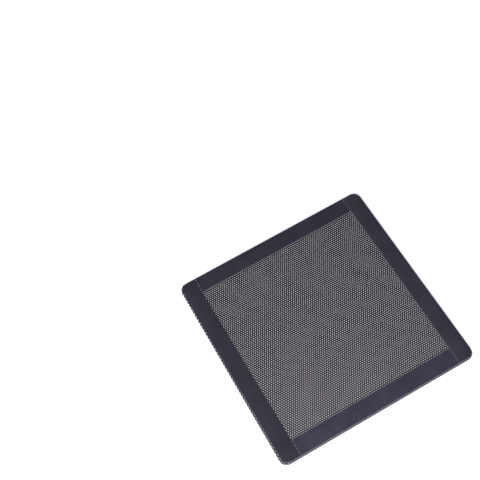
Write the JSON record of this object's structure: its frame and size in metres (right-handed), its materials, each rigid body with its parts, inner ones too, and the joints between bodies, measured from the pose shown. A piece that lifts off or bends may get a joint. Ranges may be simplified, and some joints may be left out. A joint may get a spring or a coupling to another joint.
{
  "type": "fan dust filter",
  "caption": "Square magnetic dust filter for a computer fan: a soft perforated sheet framed by flexible magnetic rubber strips.",
  "frame": {"origin": "middle of the perforated sheet's flat underside", "axes": "+Z from the sheet towards the magnetic strips; X along the upper and lower strips; Y along the full-length left and right strips"},
  "size_m": [0.12, 0.12, 0.0015],
  "materials": {
    "perforated_pvc": "soft black perforated vinyl, slight sheen",
    "magnetic_rubber": "matt charcoal calendered magnetic rubber",
    "adhesive": "dark acrylic adhesive film"
  },
  "bodies": {
    "root": {"mesh_sheet": "perforated_pvc", "magnet_strip_left": "magnetic_rubber", "magnet_strip_right": "magnetic_rubber", "magnet_strip_upper": "magnetic_rubber", "magnet_strip_lower": "magnetic_rubber", "adhesive_film_left": "adhesive", "adhesive_film_right": "adhesive", "adhesive_film_upper": "adhesive", "adhesive_film_lower": "adhesive"}
  },
  "joints": []
}
